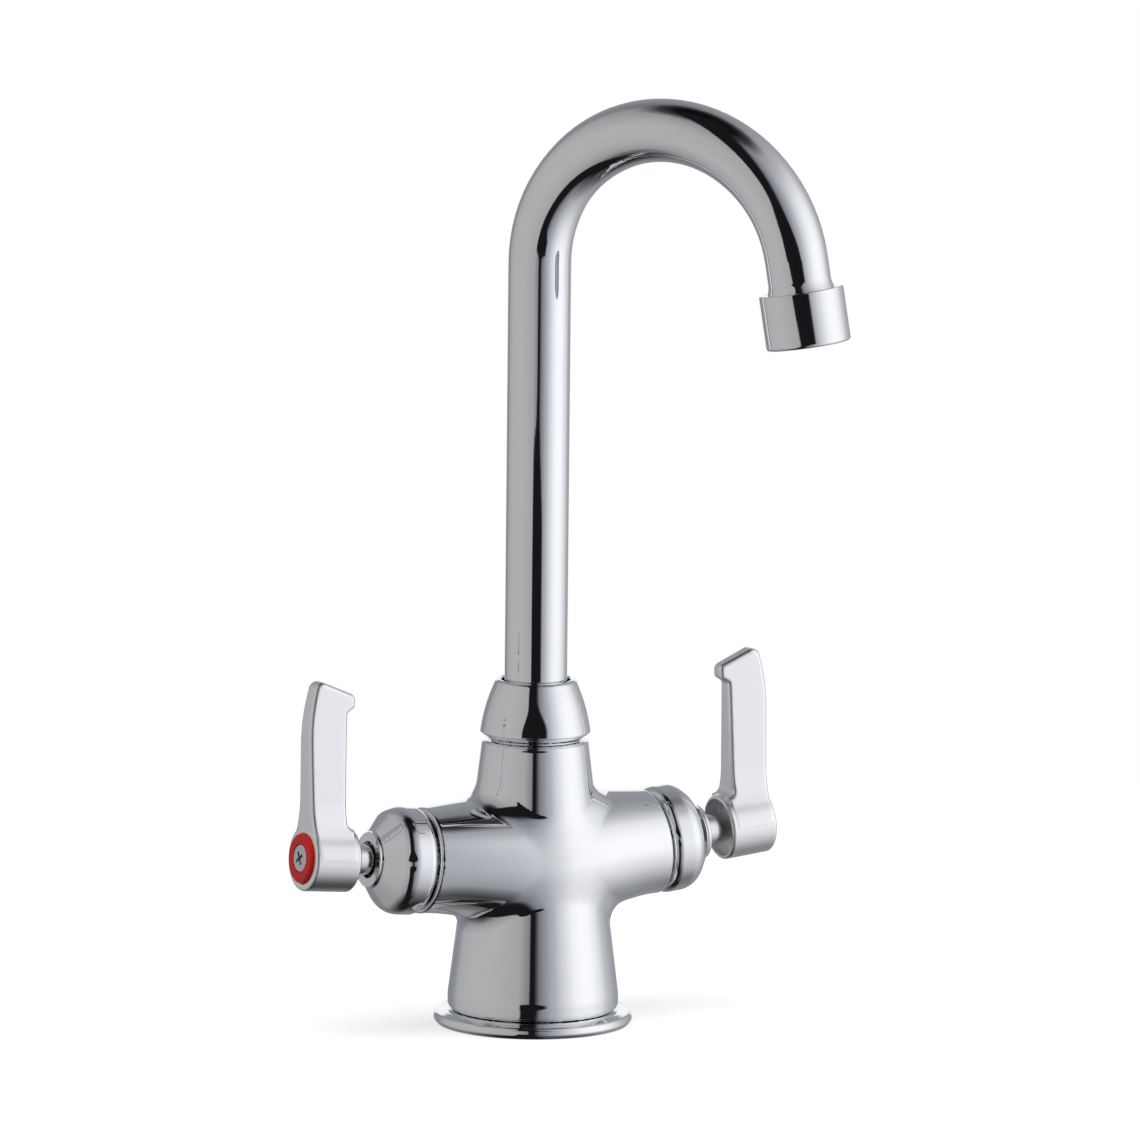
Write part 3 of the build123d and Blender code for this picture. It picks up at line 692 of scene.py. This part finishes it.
def tent_pattern(nodes):
    """Walls of the light tent: even cloth, a lamp behind its right side, a slot for the camera.

    Stops round the tent are in degrees from the camera's side, to the right as the camera sees
    it, and stops up the tent are in degrees above the horizon. Across and up are the parts of
    a direction that point right and up."""
    turn = camera_turn.to_matrix()
    right = turn @ Vector((1, 0, 0))
    right = Vector((right.x, right.y, 0)).normalized()
    near = Vector((right.y, -right.x, 0))
    direction = nodes.unit(nodes.coordinates())
    across = nodes.dot(direction, right)
    towards = nodes.dot(direction, near)
    up = nodes.parts_of(direction)[2]
    angle = across.maths("ARCTAN2", across, towards) / (2 * pi) + 0.5
    height = up.maths("ARCSINE", up) / pi + 0.5

    def round_tent(stops):
        return nodes.ramp(angle, [(degrees / 360 + 0.5, level) for degrees, level in stops])

    def up_tent(stops):
        return nodes.ramp(height, [(degrees / 180 + 0.5, level) for degrees, level in stops])

    cloth = round_tent([
        (-180, (0.26, 0.27, 0.29)), (-150, (0.22, 0.23, 0.25)), (-136, (0.25, 0.26, 0.27)),
        (-124, (0.37, 0.37, 0.38)), (-100, (0.41, 0.41, 0.415)), (-60, (0.42, 0.42, 0.425)),
        (-40, (0.39, 0.39, 0.395)), (-20, (0.36, 0.36, 0.365)), (5, (0.1, 0.1, 0.11)),
        (12, (0.22, 0.22, 0.25)), (25, (0.33, 0.345, 0.38)), (40, (0.39, 0.40, 0.43)),
        (120, (0.39, 0.40, 0.42)), (136, (0.35, 0.36, 0.38)), (152, (0.29, 0.3, 0.32)),
        (180, (0.26, 0.27, 0.29)),
    ])
    lamp = round_tent([
        (18, 0), (30, 0.05), (45, 0.26), (60, 0.47), (75, 0.55), (90, 0.53), (105, 0.38),
        (120, 0.12), (135, 0.03), (150, 0),
    ])
    cloth_height = up_tent([
        (-90, 0.03), (-72, 0.04), (-60, 0.32), (-50, 0.7), (-35, 0.88), (-15, 1), (30, 1),
        (45, 0.88), (60, 0.7), (69, 0.12), (76, 0.015), (90, 0.015),
    ])
    lamp_height = up_tent([
        (-90, 0.08), (-65, 0.14), (-45, 0.36), (-30, 0.65), (-8, 1), (15, 1), (37, 0.75),
        (52, 0.25), (70, 0),
    ])
    wall = nodes.mix(1, cloth, cloth_height, "MULTIPLY")
    wall = nodes.mix(1, wall, nodes.mix(1, lamp, lamp_height, "MULTIPLY"), "ADD")
    # The slot is narrow where the body mirrors it, wider below that, where the spout does, and
    # widest just above it, where the collar does.
    pinch = up.rise(-0.12, -0.095) * up.rise(0.05, 0.01)
    below = up.rise(-0.1, -0.15) * up.rise(-0.35, -0.25)
    above = up.rise(0.02, 0.05) * up.rise(0.5, 0.1)
    low = up.rise(0.02, 0.05) * up.rise(0.4, 0.05)
    slot = (across - 0.19 * pinch + 0.02 * below + 0.2 * low).rise(-0.29, -0.25)
    slot = slot * (across - 0.22 * below - 0.34 * above).rise(0.14, 0.02)
    slot = slot * towards.above(0)
    # A white sheet hangs behind the object.
    paper = across.rise(-0.42, -0.3) * across.rise(0.42, 0.3) * (-0.1 - towards).rise(0, 0.1)
    paper = paper * up.rise(-0.3, -0.2) * up.rise(0.32, 0.2)
    wall = nodes.mix(paper, wall, (0.85, 0.86, 0.88))
    return nodes.mix(slot, wall, (0.008, 0.008, 0.009))


def stage_piece(name, shape, material, place):
    """Object of the stage from a bmesh."""
    mesh = bpy.data.meshes.new(name)
    shape.to_mesh(mesh)
    shape.free()
    mesh.materials.append(material)
    return placed(name, mesh, place)


def light_tent():
    """Ball of cloth round the object that only mirror surfaces see."""
    def cloth(nodes):
        return nodes.add(
            "Emission", {}, {"Color": tent_pattern(nodes), "Strength": tent_strength})

    material = surface("tent_cloth", cloth)
    material.cycles.emission_sampling = "NONE"
    shape = bmesh.new()
    bmesh.ops.create_uvsphere(shape, u_segments=64, v_segments=32, radius=tent_radius)
    tent = stage_piece("light_tent", shape, material, tent_centre)
    tent.visible_camera = False
    tent.visible_diffuse = False
    tent.visible_shadow = False
    return tent


def seen_directly(nodes):
    """1 for rays of the camera, of mirrors and of glass, 0 for those that carry light."""
    path = nodes.add("LightPath").socket.node.outputs
    camera_ray, mirror_ray, glass_ray = [
        Value(nodes, path[name]) for name in
        ("Is Camera Ray", "Is Glossy Ray", "Is Transmission Ray")]
    seen = camera_ray + mirror_ray + glass_ray
    return seen.maths("MINIMUM", seen, 1)


def floor():
    """Pale round floor that keeps the object's shadow and shows in no mirror."""
    def pale(nodes):
        paper = nodes.add("BsdfDiffuse", {}, {"Color": (0.5, 0.5, 0.505, 1)})
        glow = nodes.add("Emission", {}, {"Strength": floor_glow * seen_directly(nodes)})
        return nodes.add("AddShader", {}, {0: paper, 1: glow})

    shape = bmesh.new()
    bmesh.ops.create_circle(shape, cap_ends=True, segments=128, radius=floor_radius)
    disc = stage_piece("floor", shape, surface("pale_floor", pale), (0, 0, -floor_gap))
    disc.visible_glossy = False
    return disc


def studio():
    """World, lamps, floor and light tent."""
    world = bpy.data.worlds.new("studio")
    bpy.context.scene.world = world
    world.use_nodes = True
    nodes = Nodes(world.node_tree)
    room = nodes.add("Background", {}, {"Color": (1, 1, 1, 1), "Strength": room_strength})
    white = nodes.add("Background", {}, {"Color": (1, 1, 1, 1), "Strength": 1.0})
    both = nodes.add("MixShader", {}, {0: seen_directly(nodes), 1: room, 2: white})
    nodes.add("OutputWorld", {}, {"Surface": both})
    for name, place, size, power in lamps:
        light = bpy.data.lights.new(name, "AREA")
        light.shape = "DISK"
        light.size = size
        light.energy = power
        lamp = placed(name, light, place)
        away = Vector(place) - lamp_target
        lamp.rotation_euler = away.to_track_quat("Z", "Y").to_euler()
        lamp.visible_camera = False
        lamp.visible_glossy = False
    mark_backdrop(floor(), light_tent())


def camera():
    """The camera that was fitted to the photograph."""
    view = bpy.data.cameras.new("camera")
    view.lens = camera_lens
    view.sensor_width = camera_sensor
    view.clip_start = 0.1
    view.clip_end = 50
    stand = placed("camera", view, camera_place)
    stand.rotation_euler = camera_turn
    bpy.context.scene.camera = stand


studio()
camera()
bpy.context.scene.view_settings.view_transform = "Standard"

boxes = {"cad": cad_box, "visual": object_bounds()}
{name: [list(corner) for corner in box] for name, box in boxes.items()}
